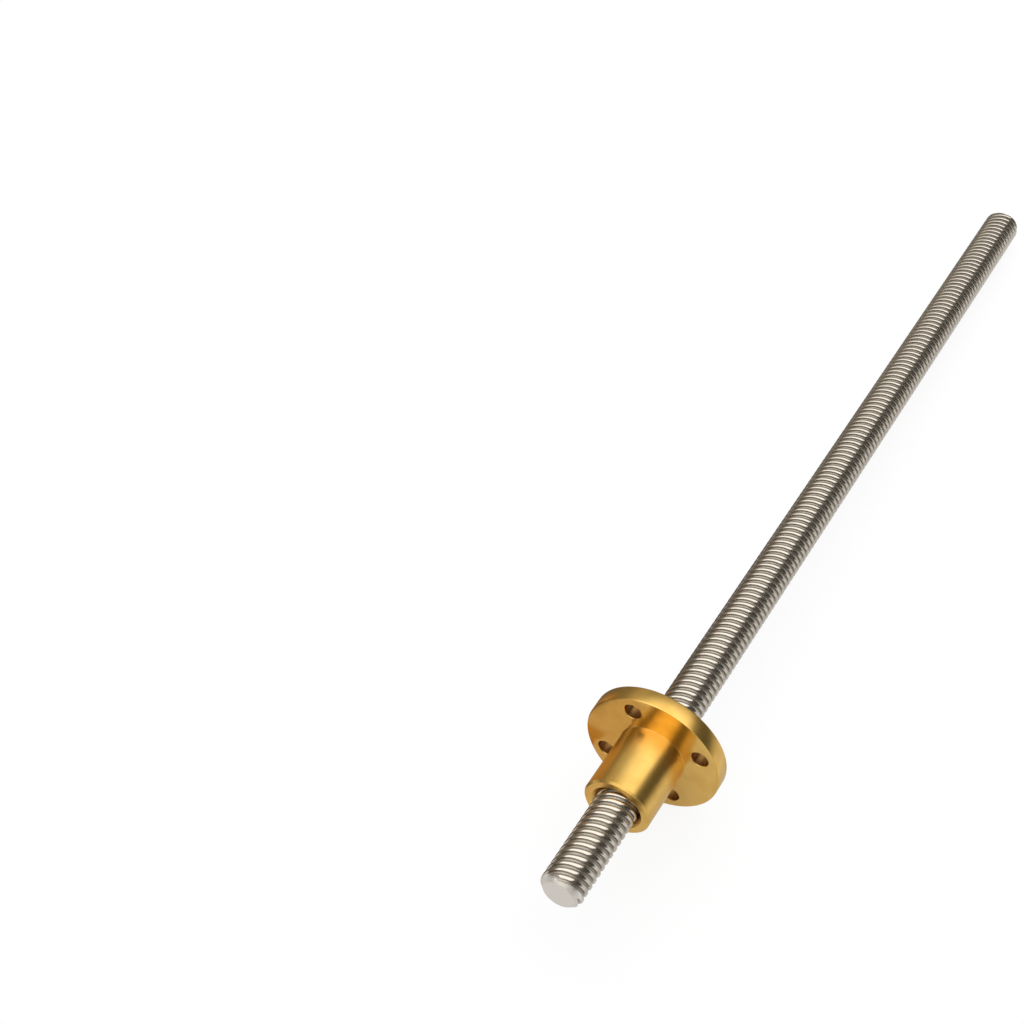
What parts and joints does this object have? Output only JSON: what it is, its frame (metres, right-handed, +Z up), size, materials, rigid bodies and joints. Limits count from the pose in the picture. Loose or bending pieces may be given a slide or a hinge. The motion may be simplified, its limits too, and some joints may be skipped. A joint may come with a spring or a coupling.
{
  "type": "trapezoidal lead screw",
  "caption": "Steel rod with a multi-start trapezoidal thread and a flanged brass nut that turns rotation into travel along it.",
  "frame": {"origin": "middle of the footprint on the ground that the screw lies on", "axes": "+X along the screw from its end nearer the nut to its far end, +Z up; the screw's axis dips 2.94 degrees toward +X because the flange rim carries one end"},
  "size_m": [0.3, 0.036, 0.0361],
  "materials": {
    "screw_steel": "bright rolled thread, clean flanks, sawn and chamfered ends",
    "nut_brass": "bright turned surface with fine lathe marks"
  },
  "bodies": {
    "screw": {"screw": "screw_steel"},
    "nut": {"nut": "nut_brass"}
  },
  "joints": [
    {"name": "nut_travel", "type": "slide", "parent": "screw", "child": "nut", "axis": [0.9987, 0, -0.0513], "range_m": [-0.024, 0.246]}
  ]
}
